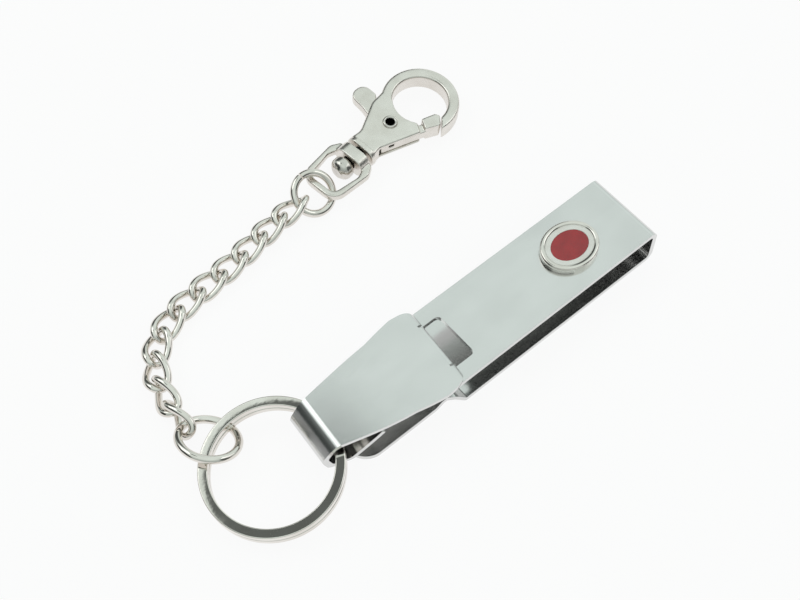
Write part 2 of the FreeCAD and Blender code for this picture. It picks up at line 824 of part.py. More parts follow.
def hook_ring():
    """Rounded hook wire, trimmed where the gate's tip swings past it."""
    reach = size("clasp_reach")
    centre = Vector(HOOK_CENTRE_SHARES[0] * reach, HOOK_CENTRE_SHARES[1] * reach, 0)
    outer = reach - centre.x
    inner = outer - size("hook_wire")
    half = size("clasp_thickness") / 2
    block = Part.makeBox(outer - inner, size("clasp_edge"), 2 * half, Vector(inner, 0, -half))
    near = size("pick_slack")
    long_edges = [edge for edge in block.Edges if edge.BoundBox.YLength > near]
    rounded = block.makeFillet(size("hook_corner"), long_edges)
    face = next(item for item in rounded.Faces if abs(item.CenterOfMass.y) < near)
    face.rotate(Vector(), Z_AXIS, HOOK_START_ANGLE)
    ring = face.revolve(Vector(), Z_AXIS, HOOK_END_ANGLE - HOOK_START_ANGLE)
    ring.translate(centre)
    below = Vector(0, 0, -2 * half)
    swing = Part.makeCylinder(amount_of("gate_reach + gate_gap"), 4 * half, below)
    corner = below + Vector(0, centre.y - inner / 2 - reach, 0)
    tip_side = Part.makeBox(reach, reach, 4 * half, corner)
    return ring.cut(swing.common(tip_side)), centre


def extruded(name, corners, height):
    """Body padded from one outline, as high above its plane as below it."""
    body = new_body(name)
    outline = new_sketch(body, name + "_outline", "XY_Plane")
    draw(outline, corners)
    pad(body, outline, name + "_pad", height)
    return body


def build_clasp_body():
    half = size("clasp_thickness") / 2
    cheeks = extruded("cheeks", shares_of(CHEEK_SHARES, "clasp_reach"), "clasp_thickness")
    round_edges(cheeks, "cheek_rounding", "clasp_edge",
                lambda edge: is_level(edge, half) or is_level(edge, -half))
    neck = new_sketch(cheeks, "neck_outline", "YZ_Plane", "-neck_reach")
    draw(neck, rectangle("-neck_width / 2", "-neck_height / 2",
                         "neck_width / 2", "neck_height / 2", "neck_corner"))
    pad(cheeks, neck, "neck_flange", "neck_length", side="One side")
    slot = extruded("slot", shares_of(SLOT_SHARES, "clasp_reach"), "slot_height")
    ring, centre = hook_ring()
    hook = doc.addObject("Part::Feature", "hook_wire_ring")
    hook.Shape = ring
    hole = doc.addObject("Part::Cylinder", "hook_hole")
    bind(hole, "Radius", f"(1 - {HOOK_CENTRE_SHARES[0]}) * clasp_reach - hook_wire")
    bind(hole, "Height", "clasp_thickness * 2")
    hole.Placement = Placement(centre - Z_AXIS * 2 * half, Rotation())
    bore = doc.addObject("Part::Cylinder", "pivot_hole")
    bind(bore, "Radius", "pivot_radius")
    bind(bore, "Height", "clasp_thickness * 2")
    bore.Placement = Placement(Z_AXIS * -2 * half, Rotation())
    seat = doc.addObject("Part::Cylinder", "stem_hole")
    bind(seat, "Radius", "stem_radius")
    bind(seat, "Height", "stem_seat")
    seat.Placement = Placement(Vector(-size("neck_reach"), 0, 0), Rotation(Y_AXIS, 90))
    open_cheeks = less("cheeks_by_hole", cheeks, hole)
    whole = doc.addObject("Part::Fuse", "cheeks_with_hook")
    whole.Base = open_cheeks
    whole.Tool = hook
    slotted = less("slotted_body", whole, slot)
    bored = less("bored_body", slotted, bore)
    keep(less("seated_body", bored, seat), "clasp_body", clasp_placement())


def build_gate_lever():
    body = extruded("gate", shares_of(LEVER_SHARES, "gate_reach"), "gate_thickness")
    half = size("gate_thickness") / 2
    round_edges(body, "gate_rounding", "gate_edge",
                lambda edge: is_level(edge, half) or is_level(edge, -half))
    nose = new_sketch(body, "nose_outline", "XY_Plane")
    draw(nose, shares_of(NOSE_SHARES, "gate_reach"))
    pad(body, nose, "gate_nose", "clasp_thickness")
    face = size("clasp_thickness") / 2
    round_edges(body, "nose_rounding", "gate_edge",
                lambda edge: is_level(edge, face) or is_level(edge, -face))
    bore = circle_sketch(body, "gate_bore", "XY_Plane", "0", "0",
                         "pivot_radius + pivot_clearance")
    pocket(body, bore, "gate_bore_cut", "gate_thickness * 2", side="Symmetric")
    recess = circle_sketch(body, "spring_recess", "XY_Plane", "0", "0",
                           "spring_recess", "gate_thickness / 2")
    pocket(body, recess, "spring_recess_cut", "gate_thickness / 2 - spring_floor")
    relief = new_sketch(body, "leg_relief", "XY_Plane", "gate_thickness / 2")
    draw(relief, rectangle("-(spring_leg + leg_room)", "-(spring_leg + leg_room)",
                           "0", "leg_room"))
    pocket(body, relief, "leg_relief_cut", "gate_thickness / 2 - spring_floor")
    keep(body, "gate_lever", clasp_placement())


def build_gate_rivet():
    body = new_body("gate_rivet")
    flat = "clasp_thickness / 2"
    tip = "clasp_thickness / 2 + pivot_lip_height"
    profile = new_sketch(body, "pivot_profile", "XZ_Plane")
    draw(profile, [
        ("pivot_bore", f"-({tip})"),
        ("pivot_lip", f"-({tip})", "pivot_lip_height / 2"),
        ("pivot_lip", f"-({flat})"),
        ("pivot_radius", f"-({flat})"),
        ("pivot_radius", flat),
        ("pivot_lip", flat),
        ("pivot_lip", tip, "pivot_lip_height / 2"),
        ("pivot_bore", tip),
    ])
    turned = body.newObject("PartDesign::Revolution", "pivot_turned")
    turned.Profile = profile
    turned.ReferenceAxis = (profile, ["V_Axis"])
    turned.Angle = 360
    doc.recompute()
    keep(body, "gate_rivet", clasp_placement())


def build_gate_spring():
    """Torsion coil round the rivet, with one leg for the body and one for the gate."""
    radius = size("spring_radius")
    wire = size("spring_wire") / 2
    pitch = size("spring_pitch")
    turns = size("spring_turns")
    slope = Vector(0, radius, pitch / (2 * math.pi)).normalize()
    start = Vector(radius, 0, 0)
    first = Part.Wire(Part.makeCircle(wire, start, slope))
    sections = []
    for step in range(COIL_STEPS + 1):
        share = step / COIL_STEPS
        section = first.copy()
        section.rotate(Vector(), Z_AXIS, 360 * turns * share)
        section.translate(Z_AXIS * pitch * turns * share)
        sections.append(section)
    leg = size("spring_leg")
    first_tip = first.copy()
    first_tip.translate(slope * -leg)
    last_tip = sections[-1].copy()
    last_tip.translate(Rotation(Z_AXIS, 360 * turns).multVec(slope) * leg)
    spring = doc.addObject("Part::Feature", "gate_spring_wire")
    spring.Shape = Part.makeLoft([first_tip, *sections, last_tip], True, True)
    base = amount_of("spring_floor + spring_wire / 2 + spring_rest")
    rest = Placement(Z_AXIS * base, Rotation(Z_AXIS, -90))
    keep(spring, "gate_spring", clasp_placement() * rest)


def check():
    """Stop unless every object is sound and every sub-part is one good solid."""
    doc.recompute()
    for item in doc.Objects:
        if "Invalid" in item.State or "Error" in item.State:
            raise RuntimeError(f"{item.Label} failed: {item.State}")
    for item in subparts:
        if item.Shape.isNull() or not item.Shape.isValid() or len(item.Shape.Solids) != 1:
            raise RuntimeError(f"{item.Label} is not one valid solid")


def write():
    os.makedirs("parts", exist_ok=True)
    for item in subparts:
        item.Shape.exportStep(f"parts/{item.Label}.step")


fill_sheet()
build_belt_clip()
build_badge()
build_hanger()
build_split_ring()
build_jump_ring("ring_link", "ring_link_radius", ring_link_placement(),
                "ring_link_seam")
build_chain()
build_jump_ring("swivel_link", "swivel_link_radius", swivel_link_placement(),
                "swivel_link_seam")
build_swivel_eye()
build_swivel_rivet()
build_clasp_body()
build_gate_lever()
build_gate_rivet()
build_gate_spring()
check()
write()
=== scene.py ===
import json
import math

import bmesh
import bpy
import numpy as np
from bpy.props import FloatProperty, FloatVectorProperty, IntProperty, PointerProperty
from mathutils import Matrix, Vector


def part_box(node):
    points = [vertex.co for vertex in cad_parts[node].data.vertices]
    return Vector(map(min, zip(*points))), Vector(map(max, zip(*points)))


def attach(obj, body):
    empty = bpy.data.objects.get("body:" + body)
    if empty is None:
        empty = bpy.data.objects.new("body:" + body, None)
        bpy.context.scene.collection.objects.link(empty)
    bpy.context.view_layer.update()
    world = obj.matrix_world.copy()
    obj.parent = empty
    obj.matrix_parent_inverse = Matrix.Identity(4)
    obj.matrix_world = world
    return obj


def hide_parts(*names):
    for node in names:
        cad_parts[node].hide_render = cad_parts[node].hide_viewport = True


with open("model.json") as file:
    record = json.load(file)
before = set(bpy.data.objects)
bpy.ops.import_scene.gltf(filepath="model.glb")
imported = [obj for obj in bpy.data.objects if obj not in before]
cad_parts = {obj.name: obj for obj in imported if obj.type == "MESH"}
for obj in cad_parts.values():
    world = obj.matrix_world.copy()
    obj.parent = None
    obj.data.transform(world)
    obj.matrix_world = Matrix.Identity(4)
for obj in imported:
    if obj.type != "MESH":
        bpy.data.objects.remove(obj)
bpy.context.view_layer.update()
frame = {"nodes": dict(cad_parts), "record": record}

bl_info = {
    "name": "Belt key clip",
    "version": (1, 0, 0),
    "blender": (4, 5, 0),
    "location": "3D View > Sidebar > Key clip",
    "description": "Dresses the packed belt key clip in finished metal and enamel",
    "category": "Object",
}

MM = 0.001
WELD = 0.001 * MM
# Where the hanger's crown starts and how long it is, and where its roll starts, from its shoulder.
CROWN_SHARES = (0.05, 0.87)
ROLL_START_SHARE = 0.927
# How near to the round of the hook's corners a corner of the mesh counts as on it.
HOOK_SLACK = 0.02 * MM
LINK_NODES = sorted(name for name in frame["nodes"] if name.startswith("chain_link_"))
# Largest angle between faces that count as one flat.
FLAT_ANGLE = math.radians(0.4)
# Counts of steps: along the hanger, round the badge and up its dome, round and across a chain
# link's wire, round and across a jump ring's wire, along the key ring's wire, round a corner of
# its section, and round the gate rivet.
HANGER_STATIONS = 24
OVAL_STEPS = 72
DOME_STEPS = 12
LINK_STEPS = 72
LINK_SIDES = 20
JUMP_STEPS = 97
JUMP_SIDES = 24
RING_STEPS = 300
CORNER_STEPS = 4
RIVET_STEPS = 40
# How far the enamel's dome goes in towards its middle, where a flat cap closes it.
DOME_REACH = 0.98
# Where a jump ring's seam lies, from the X axis.
SEAM_PLACE = math.radians(100)
# Angles round the rivet's rolled lip, the radius that closes its bore at the axis, and the share
# of the bore's radius inside which a face is in the bore.
LIP_ANGLES = [math.radians(-60 + 24 * step) for step in range(11)]
AXIS_RADIUS = 1e-6
BORE_SHARE = 0.999


def linear(hex_colour):
    """Linear RGBA of an sRGB hex value."""
    shares = [int(hex_colour[i:i + 2], 16) / 255 for i in (1, 3, 5)]
    light = [s / 12.92 if s <= 0.04045 else ((s + 0.055) / 1.055) ** 2.4 for s in shares]
    return (*light, 1.0)


def length(name, description, millimetres):
    return FloatProperty(name=name, description=description, default=millimetres * MM,
                         subtype="DISTANCE", unit="LENGTH")


def angle(name, description, degrees):
    return FloatProperty(name=name, description=description, default=math.radians(degrees),
                         subtype="ANGLE", unit="ROTATION")


def colour(name, description, hex_colour):
    return FloatVectorProperty(name=name, description=description, size=4, min=0, max=1,
                               default=linear(hex_colour), subtype="COLOR")


class KeyClipSizes(bpy.types.PropertyGroup):
    """Sizes of the wire pieces, and the edges that tooling and plating leave."""
    strip_edge: length("Strip edge", "Rounding of the tumbled edges of sheet pieces", 0.16)
    hanger_crown: length("Hanger crown", "Height of the pressed crown along the hanger", 0.38)
    hanger_flare: FloatProperty(name="Hanger flare", default=0.12, min=0, max=0.2,
                                description="Share by which pressing spreads the hanger's waist")
    hanger_lean: length("Hanger lean", "Sideways bow of the hanger's waist", 0.45)
    hanger_roll: FloatProperty(name="Hanger roll", default=1.3, min=1, max=2,
                               description="Stretch of the rolled end along the hanger")
    neck_room: length("Neck room", "Room for the hanger's neck to rock in the window", 0.04)
    link_length: length("Link length", "Centre line length of a chain link", 8.25)
    link_width: length("Link width", "Centre line width of a chain link", 4.6)
    link_twist: angle("Link twist", "Twist from a link's middle to each end", 45)
    link_fullness: FloatProperty(
        name="Link fullness", default=2.38, min=2, max=4,
        description="Power of the link's oval, where 2 is an ellipse")
    link_wire: length("Link wire", "Wire diameter of the chain", 1.55)
    jump_wire: length("Jump wire", "Wire diameter of the jump rings", 1.7)
    jump_seam: angle("Jump seam", "Opening of a jump ring's butt seam", 4)
    ring_link_radius: length(
        "Ring link", "Centre line radius of the jump ring by the key ring", 5.9)
    swivel_link_radius: length(
        "Swivel link", "Centre line radius of the jump ring by the clasp", 4.4)
    ring_radius: length("Key ring", "Outside radius of the key ring", 14.2)
    ring_wire_width: length("Key ring wire width", "Radial width of the flat wire", 2.0)
    ring_wire_height: length("Key ring wire height", "Height of one turn", 1.5)
    ring_wire_round: length("Key ring wire rounding", "Corner radius of the flat wire", 0.24)
    ring_turn_gap: length("Key ring gap", "Gap between the two turns", 0.2)
    ring_joggle: angle("Key ring climb", "Arc over which the wire climbs a turn", 26)
    ring_joggle_end: angle("Key ring climb end", "Where the climb ends", 14)
    ring_end_gap: angle("Key ring end gap", "Arc between a wire end and the climb", 3)
    cast_grain: length("Casting grain", "Size of the faces of cast pieces", 0.14)
    cast_rounds: IntProperty(name="Casting smoothing", default=10, min=0,
                             description="Smoothing passes that soften a cast piece's edges")
    clasp_thickness: length("Clasp thickness", "Thickness of the clasp's cheeks and hook", 4.3)
    hook_wire: length("Hook wire", "Width of the clasp's hook", 2.62)
    hook_corner: length("Hook corner", "Depth of the hook's rounded corners", 1.2)
    hook_fullness: FloatProperty(name="Hook fullness", default=3.5, min=2, max=6,
                                 description="Power of the hook's corners, where 2 is a round")
    rivet_lip: length("Gate rivet", "Radius of the gate rivet's rolled lip", 1.62)
    rivet_bore: length("Gate rivet bore", "Radius of the gate rivet's bore", 0.98)
    enamel_dome: length("Enamel dome", "Crown of the polished enamel", 0.1)


class KeyClipFinishes(bpy.types.PropertyGroup):
    """Colours of the finishes."""
    steel: colour("Stainless strip", "Satin stainless steel", "#DCDCDB")
    steel_dull: colour("Stainless shade", "Duller patches of the strip", "#D5D5D4")
    nickel: colour("Nickel", "Bright nickel plate", "#E6E2DC")
    nickel_dull: colour("Nickel shade", "Duller patches of the plate", "#DAD5CE")
    rivet: colour("Rivet", "Peened steel of rivets", "#DAD6D0")
    # Painted shade: near black for the shade deep inside the gate rivet's bore.
    bore: colour("Rivet bore", "Painted shade deep inside the gate rivet's bore", "#1C1B1A")
    spring: colour("Spring", "Plain spring wire", "#7C7B7A")
    red: colour("Red enamel", "Field of the badge", "#B01820")
    red_deep: colour("Red enamel shade", "Thicker enamel of the field", "#961019")
    white: colour("White enamel", "Border of the badge", "#F1EFEB")
    white_warm: colour("White enamel shade", "Thicker enamel of the border", "#E6E2DB")
    floor: colour("Floor", "Pale studio floor", "#F4F4F4")
    light: colour("Studio light", "Slightly cool light of the walls and ceiling", "#F2FDF9")


# Nodes and materials

def add(tree, kind, inputs=None, **settings):
    """Add a node with its settings, and set or link its inputs."""
    made = tree.nodes.new(kind)
    for key, value in settings.items():
        setattr(made, key, value)
    for key, value in (inputs or {}).items():
        if isinstance(value, bpy.types.NodeSocket):
            tree.links.new(value, made.inputs[key])
        else:
            made.inputs[key].default_value = value
    return made


def new_material(name):
    material = bpy.data.materials.new(name)
    material.use_nodes = True
    material.node_tree.nodes.clear()
    return material, material.node_tree


def pattern(tree, size, low, high, detail=2.0):
    """Soft spots of the given size along X, Y and Z in millimetres, from low to high."""
    place = add(tree, "ShaderNodeTexCoord").outputs["Object"]
    scale = tuple(1 / (side * MM) for side in size)
    mapped = add(tree, "ShaderNodeMapping", {"Vector": place, "Scale": scale})
    spots = add(tree, "ShaderNodeTexNoise",
                {"Vector": mapped.outputs[0], "Scale": 1.0, "Detail": detail})
    spread = add(tree, "ShaderNodeMapRange", {
        "Value": spots.outputs[0], "From Min": 0.3, "From Max": 0.7, "To Min": low, "To Max": high})
    return spread.outputs[0]


def finish_material(name, shades, patch, rough, relief, constants):
    """Surface that mixes two shades in patches, with a roughness and a relief pattern."""
    material, tree = new_material(name)
    share = pattern(tree, patch, 0, 1)
    mixed = add(tree, "ShaderNodeMix", {0: share, 6: shades[0], 7: shades[1]}, data_type="RGBA")
    grain, low, high = rough
    marks, depth = relief
    bump = add(tree, "ShaderNodeBump", {
        "Height": pattern(tree, marks, 0, 1, 3.0), "Strength": 1.0, "Distance": depth * MM})
    surface = add(tree, "ShaderNodeBsdfPrincipled", {
        "Base Color": mixed.outputs[2], "Roughness": pattern(tree, grain, low, high, 3.0),
        "Normal": bump.outputs[0], **constants})
    add(tree, "ShaderNodeOutputMaterial", {"Surface": surface.outputs[0]})


def satin_stainless(look):
    """Stainless strip, belt-polished along its length: even, with softly drawn highlights."""
    # Polishing lines are near 0.03 mm apart, drawn coarser here so that they show.
    finish_material("satin_stainless_strip", (tuple(look.steel), tuple(look.steel_dull)),
                    (12, 7, 7), ((9, 0.16, 0.16), 0.15, 0.21), ((9, 0.16, 0.16), 0.0006),
                    {"Metallic": 1.0})


def bright_nickel(look):
    """Nickel plate on tumbled steel: bright, with a faint ripple under the plate."""
    finish_material("bright_nickel_plate", (tuple(look.nickel), tuple(look.nickel_dull)),
                    (5, 5, 5), ((2.5, 2.5, 2.5), 0.03, 0.07), ((1.1, 1.1, 1.1), 0.0015),
                    {"Metallic": 1.0})


def tumbled_nickel(look):
    """Nickel plate on a tumbled zinc casting: a soft, slightly grainy shine."""
    # The casting's grain is near 0.1 mm, drawn coarser here so that it shows.
    finish_material("tumbled_nickel_casting", (tuple(look.nickel), tuple(look.nickel_dull)),
                    (4, 4, 4), ((0.5, 0.5, 0.5), 0.22, 0.32), ((0.35, 0.35, 0.35), 0.0025),
                    {"Metallic": 1.0})


def plain_steel(name, shade, spot, low, high):
    """Unplated steel, greyer and rougher than the plate, from drawing or peening."""
    darker = tuple(value * 0.85 for value in shade[:3]) + (1.0,)
    size = (spot, spot, spot)
    finish_material(name, (tuple(shade), darker), size, (size, low, high), (size, 0.004),
                    {"Metallic": 1.0})


def hard_enamel(name, shade, deep):
    """Fired enamel, stoned flush: a glassy coat over a colour that pools a little."""
    finish_material(name, (tuple(shade), tuple(deep)), (3, 3, 3), ((0.7, 0.7, 0.7), 0.12, 0.2),
                    ((0.7, 0.7, 0.7), 0.003),
                    {"IOR": 1.5, "Coat Weight": 0.6, "Coat Roughness": 0.06})


# Meshes

def put(name, mesh, body, slot, material, *nodes):
    """Finish a piece: give it its material and set it on its body for its nodes."""
    mesh.materials.clear()
    mesh.materials.append(material)
    piece = bpy.data.objects.new(name, mesh)
    bpy.context.scene.collection.objects.link(piece)
    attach(piece, body)
    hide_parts(*nodes)
    return piece


def evaluated(mesh, modifiers):
    """Plain mesh left by a list of (kind, settings) modifiers."""
    holder = bpy.data.objects.new("holder", mesh)
    bpy.context.scene.collection.objects.link(holder)
    for kind, settings in modifiers:
        modifier = holder.modifiers.new(kind, kind)
        for key, value in settings.items():
            setattr(modifier, key, value)
    graph = bpy.context.evaluated_depsgraph_get()
    made = bpy.data.meshes.new_from_object(
        holder.evaluated_get(graph), preserve_all_data_layers=True, depsgraph=graph)
    bpy.data.objects.remove(holder)
    return made


def merged(node, flat=0.0):
    """Copy of a CAD node's mesh with its corners joined and flat faces made whole."""
    shape = bmesh.new()
    shape.from_mesh(frame["nodes"][node].data)
    bmesh.ops.remove_doubles(shape, verts=shape.verts, dist=WELD)
    if flat:
        bmesh.ops.dissolve_limit(shape, angle_limit=flat, verts=shape.verts, edges=shape.edges)
    mesh = bpy.data.meshes.new(node + "_finish")
    shape.to_mesh(mesh)
    shape.free()
    for face in mesh.polygons:
        face.use_smooth = True
    return mesh


def rounded_edges(mesh, edge):
    """Bent sheet with its sheared edges rounded."""
    return evaluated(mesh, [
        ("BEVEL", {"width": edge, "segments": 2, "limit_method": "ANGLE",
                   "angle_limit": math.radians(35), "harden_normals": True}),
        ("WEIGHTED_NORMAL", {"keep_sharp": True}),
    ])


def joint_named(name):
    return next(joint for joint in frame["record"]["behaviour"]["joints"]
                if joint["name"] == name)


def hump(share):
    """Smooth rise and fall from 0 to 1 and back as a share goes from 0 to 1."""
    return math.sin(math.pi * min(max(share, 0), 1))


def pressed_hanger(sizes):
    """Hanger with the crown, the spread waist and the round roll that its press tools leave."""
    hinge = joint_named("hanger_hinge")
    flat = merged("hanger", FLAT_ANGLE)
    top = max((face for face in flat.polygons if face.normal.z > 0.9), key=lambda face: face.area)
    across = Vector(hinge["axis"])
    up = top.normal.copy()
    turn = Matrix((across.cross(up), across, up)).transposed().to_4x4()
    lie = Matrix.Translation(Vector(hinge["pos_m"])) @ turn
    shape = bmesh.new()
    shape.from_mesh(flat)
    bmesh.ops.transform(shape, matrix=lie.inverted(), verts=shape.verts)
    end = min(vert.co.x for vert in shape.verts)
    for station in range(1, HANGER_STATIONS):
        bmesh.ops.bisect_plane(shape, geom=[*shape.verts, *shape.edges, *shape.faces],
                               plane_co=(end * station / HANGER_STATIONS, 0, 0), plane_no=(1, 0, 0))
    roll_start = end * ROLL_START_SHARE
    for vert in shape.verts:
        share = vert.co.x / end
        rise = hump((share - CROWN_SHARES[0]) / CROWN_SHARES[1])
        on_strap = vert.co.z > -sizes.strip_edge
        if on_strap or vert.co.x < roll_start / 2:
            vert.co.y = vert.co.y * (1 + sizes.hanger_flare * rise) - sizes.hanger_lean * rise
        if on_strap:
            vert.co.z += sizes.hanger_crown * rise
        elif share < CROWN_SHARES[0]:
            vert.co.x += sizes.neck_room
        if vert.co.x < roll_start:
            vert.co.x = roll_start + (vert.co.x - roll_start) * sizes.hanger_roll
    bmesh.ops.transform(shape, matrix=lie, verts=shape.verts)
    shape.to_mesh(flat)
    shape.free()
    return rounded_edges(flat, sizes.strip_edge)


def full_hook(sizes):
    """Clasp with the flat top that the die gives its hook, fuller at its corners than a round."""
    mesh = merged("clasp_body")
    hole = next(mount for mount in frame["record"]["mounts"] if mount["name"] == "clasp_hook")
    middle, axis = Vector(hole["pos_m"]), Vector(hole["axis"])
    corner, power = sizes.hook_corner, sizes.hook_fullness
    mean = hole["dims"]["r_mm"] * MM + sizes.hook_wire / 2
    flat = sizes.hook_wire / 2 - corner
    wall = sizes.clasp_thickness / 2 - corner
    for vert in mesh.vertices:
        reach = vert.co - middle
        height = reach.dot(axis)
        out = max(abs((reach - axis * height).length - mean) - flat, 0)
        up = max(abs(height) - wall, 0)
        if abs(math.hypot(out, up) - corner) < HOOK_SLACK:
            full = corner * (1 - min(out / corner, 1) ** power) ** (1 / power)
            vert.co += axis * math.copysign(full - up, height)
    return mesh


def cast_piece(mesh, sizes):
    """Casting with every edge softened, as tumbling and plating leave it."""
    return evaluated(mesh, [
        ("REMESH", {"mode": "VOXEL", "voxel_size": sizes.cast_grain, "use_smooth_shade": True}),
        ("SMOOTH", {"iterations": sizes.cast_rounds, "factor": 0.5}),
    ])


def turned_piece(node):
    """Turned or drawn piece, smooth round and crisp at its steps."""
    mesh = merged(node)
    mesh.set_sharp_from_angle(angle=math.radians(38))
    return mesh


def lie_of(node, ring=False):
    """Matrix from a piece's own long, wide and thin axes to where its CAD node lies."""
    mesh = frame["nodes"][node].data
    count = len(mesh.polygons)
    centres = np.empty(count * 3)
    areas = np.empty(count)
    mesh.polygons.foreach_get("center", centres)
    mesh.polygons.foreach_get("area", areas)
    centres = centres.reshape(-1, 3)
    weights = areas[:, None] / areas.sum()
    middle = (centres * weights).sum(0)
    spread = centres - middle
    thin, wide, long = np.linalg.eigh((spread * weights).T @ spread)[1].T
    if ring:
        thin = thin if thin[2] > 0 else -thin
        long = np.array((1.0, 0, 0)) - thin * thin[0]
        long /= np.linalg.norm(long)
        wide = np.cross(thin, long)
        u, v = spread @ long, spread @ wide
        terms = np.stack((2 * u, 2 * v, np.ones(count)), axis=1) * np.sqrt(weights)
        squares = (u ** 2 + v ** 2) * np.sqrt(weights[:, 0])
        fit = np.linalg.lstsq(terms, squares, rcond=None)[0]
        middle = middle + long * fit[0] + wide * fit[1]
    thin = np.cross(long, wide)
    turn = Matrix((long, wide, thin)).transposed().to_4x4()
    return Matrix.Translation(Vector(middle)) @ turn


def joined_rings(name, rings):
    """Closed mesh through a row of rings of points, with an end cap at each end."""
    around = len(rings[0])
    points = [point for ring in rings for point in ring]
    faces = []
    for row in range(len(rings) - 1):
        for i in range(around):
            j = (i + 1) % around
            low, high = row * around, (row + 1) * around
            faces.append((low + i, low + j, high + j, high + i))
    last = len(points) - around
    faces.append(tuple(range(around))[::-1])
    faces.append(tuple(range(last, last + around)))
    mesh = bpy.data.meshes.new(name)
    mesh.from_pydata(points, [], faces)
    shape = bmesh.new()
    shape.from_mesh(mesh)
    bmesh.ops.recalc_face_normals(shape, faces=shape.faces)
    shape.to_mesh(mesh)
    shape.free()
    for face in mesh.polygons:
        face.use_smooth = True
    mesh.set_sharp_from_angle(angle=math.radians(50))
    return mesh


# Wire pieces by geometry nodes

# A link's centre line, worked out step by step: result, operation and its terms.
LINK_SUMS = (
    ("turn", "MULTIPLY", "Factor", 2 * math.pi),
    ("cosine", "COSINE", "turn"),
    ("cosine side", "SIGN", "cosine"),
    ("cosine size", "ABSOLUTE", "cosine"),
    ("cosine full", "POWER", "cosine size", "Power"),
    ("along", "MULTIPLY", "cosine side", "cosine full"),
    ("sine", "SINE", "turn"),
    ("sine side", "SIGN", "sine"),
    ("sine size", "ABSOLUTE", "sine"),
    ("sine full", "POWER", "sine size", "Power"),
    ("sideways", "MULTIPLY", "sine side", "sine full"),
    ("across", "MULTIPLY", "sideways", "Half Width"),
    ("leaning", "MULTIPLY", "along", "Twist"),
    ("lean cosine", "COSINE", "leaning"),
    ("lean sine", "SINE", "leaning"),
    ("down", "MULTIPLY", "across", "lean sine"),
    ("place X", "MULTIPLY", "along", "Half Length"),
    ("place Y", "MULTIPLY", "across", "lean cosine"),
    ("place Z", "MULTIPLY", "down", -1.0),
)


def new_tree(name, inputs):
    """Geometry node tree with named inputs and one geometry output."""
    tree = bpy.data.node_groups.new(name, "GeometryNodeTree")
    for label, kind in inputs:
        tree.interface.new_socket(label, in_out="INPUT", socket_type=kind)
    tree.interface.new_socket("Geometry", in_out="OUTPUT", socket_type="NodeSocketGeometry")
    return tree, add(tree, "NodeGroupInput").outputs


def wire_along(tree, curve, given, sides):
    """End a tree with round wire along a curve, made real and given its material."""
    profile = add(tree, "GeometryNodeCurvePrimitiveCircle",
                  {"Resolution": sides, "Radius": given["Wire Radius"]})
    wire = add(tree, "GeometryNodeCurveToMesh", {
        "Curve": curve, "Profile Curve": profile.outputs[0], "Fill Caps": True})
    smooth = add(tree, "GeometryNodeSetShadeSmooth", {"Geometry": wire.outputs[0]})
    real = add(tree, "GeometryNodeRealizeInstances", {"Geometry": smooth.outputs[0]})
    dressed = add(tree, "GeometryNodeSetMaterial",
                  {"Geometry": real.outputs[0], "Material": given["Material"]})
    add(tree, "NodeGroupOutput", {"Geometry": dressed.outputs[0]})


def link_tree():
    """Round wire bent to a full oval and twisted about its long axis."""
    tree, given = new_tree("curb_link", [
        ("Half Length", "NodeSocketFloat"), ("Half Width", "NodeSocketFloat"),
        ("Twist", "NodeSocketFloat"), ("Power", "NodeSocketFloat"),
        ("Wire Radius", "NodeSocketFloat"), ("Material", "NodeSocketMaterial")])
    circle = add(tree, "GeometryNodeCurvePrimitiveCircle",
                 {"Resolution": LINK_STEPS, "Radius": 1.0})
    factor = add(tree, "GeometryNodeSplineParameter").outputs["Factor"]
    known = {socket.name: socket for socket in given}
    known["Factor"] = factor
    for result, operation, *terms in LINK_SUMS:
        inputs = {i: known.get(term, term) for i, term in enumerate(terms)}
        known[result] = add(tree, "ShaderNodeMath", inputs, operation=operation).outputs[0]
    place = add(tree, "ShaderNodeCombineXYZ",
                {axis: known[f"place {axis}"] for axis in "XYZ"})
    bent = add(tree, "GeometryNodeSetPosition",
               {"Geometry": circle.outputs[0], "Position": place.outputs[0]})
    wire_along(tree, bent.outputs[0], given, LINK_SIDES)
    return tree


def ring_tree():
    """Round wire bent to a ring with an open butt seam."""
    tree, given = new_tree("jump_ring", [
        ("Radius", "NodeSocketFloat"), ("Sweep", "NodeSocketFloat"),
        ("Wire Radius", "NodeSocketFloat"), ("Material", "NodeSocketMaterial")])
    arc = add(tree, "GeometryNodeCurveArc", {
        "Resolution": JUMP_STEPS, "Radius": given["Radius"], "Sweep Angle": given["Sweep"]})
    wire_along(tree, arc.outputs[0], given, JUMP_SIDES)
    return tree


def grown(name, tree, values):
    """Plain mesh that a tree makes from the values of its named inputs."""
    holder = bpy.data.objects.new("holder", bpy.data.meshes.new(name))
    bpy.context.scene.collection.objects.link(holder)
    modifier = holder.modifiers.new(name, "NODES")
    modifier.node_group = tree
    for item in tree.interface.items_tree:
        if item.in_out == "INPUT":
            modifier[item.identifier] = values[item.name]
    graph = bpy.context.evaluated_depsgraph_get()
    made = bpy.data.meshes.new_from_object(holder.evaluated_get(graph), depsgraph=graph)
    bpy.data.objects.remove(holder)
    return made


def material_of(name):
    return bpy.data.materials[name]


# Light from the walls and the ceiling of the studio: height of the direction and level.
SKY = ((0.0, 0.48), (0.5, 0.6), (0.72, 0.78), (0.84, 0.96), (1.0, 0.96))
# Cards around the object that give bright metal its lines: direction, the cosines of the
# angles from it where the card is whole and where it has faded out, and its share of the light.
CARDS = (
    ((-0.9, 0.4, 0.16), 0.9, 0.8, 0.12),
    ((0.62, -0.76, 0.2), 0.92, 0.84, 0.2),
    ((0.3, 0.9, 0.3), 0.95, 0.88, 0.2),
    ((-0.03, 0.265, 0.964), 0.9917, 0.9898, 0.16),
    ((0.9, 0.36, 0.24), 0.95, 0.8, 1.6),
)
